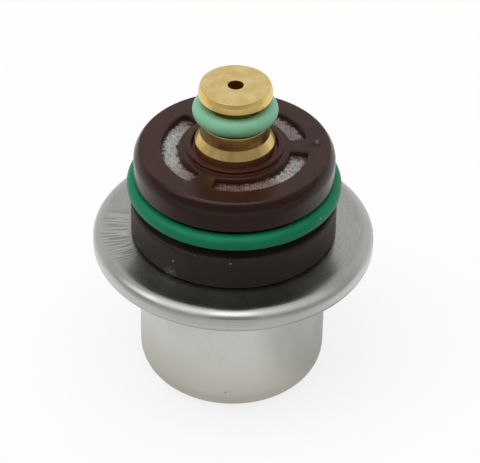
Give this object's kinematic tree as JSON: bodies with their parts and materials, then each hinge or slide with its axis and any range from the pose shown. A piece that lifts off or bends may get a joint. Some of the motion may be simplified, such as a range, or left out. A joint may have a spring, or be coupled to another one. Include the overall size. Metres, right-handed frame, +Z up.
{
  "type": "fuel pressure regulator",
  "caption": "Cartridge fuel pressure regulator: crimped steel spring can, strainer cap with gauze windows, two O-ring seals and a brass return nozzle over a diaphragm valve.",
  "frame": {"origin": "centre of the can's base, which the regulator stands on", "axes": "+Z up along the regulator's axis, from the spring can to the return nozzle"},
  "size_m": [0.038, 0.038, 0.046],
  "materials": {
    "can_steel": "satin drawn stainless steel",
    "housing_steel": "satin drawn stainless steel with crimp marks",
    "ring_plastic": "dark brown moulded plastic with a little flash",
    "body_seal_rubber": "smooth green rubber",
    "cap_plastic": "semi-gloss reddish-brown moulded plastic",
    "gauze_wire": "woven stainless wire",
    "nozzle_brass": "turned brass",
    "nozzle_seal_rubber": "smooth pale green rubber",
    "diaphragm_rubber": "black fabric-backed rubber",
    "plate_steel": "pressed zinc-plated steel",
    "valve_steel": "turned and ground steel",
    "spring_steel": "oiled spring wire"
  },
  "bodies": {
    "housing": {"spring_can": "can_steel", "fuel_housing": "housing_steel", "support_ring": "ring_plastic", "body_seal": "body_seal_rubber", "strainer_cap": "cap_plastic", "strainer_gauze": "gauze_wire", "return_nozzle": "nozzle_brass", "nozzle_seal": "nozzle_seal_rubber", "diaphragm": "diaphragm_rubber", "main_spring": "spring_steel"},
    "valve": {"diaphragm_plate": "plate_steel", "spring_plate": "plate_steel", "valve_holder": "valve_steel", "ball_washer": "plate_steel", "ball_spring": "spring_steel"},
    "ball": {"valve_ball": "valve_steel"}
  },
  "joints": [
    {"name": "valve_lift", "type": "slide", "parent": "housing", "child": "valve", "axis": [0, 0, -1], "range_m": [0, 0.0008], "stiffness_N_per_m": 15000, "deforming": ["main_spring", "diaphragm"]},
    {"name": "ball_tilt", "type": "hinge", "parent": "valve", "child": "ball", "pos_m": [0, 0, 0.027], "axis": [1, 0, 0], "range_deg": [-1.5, 1.5]}
  ]
}
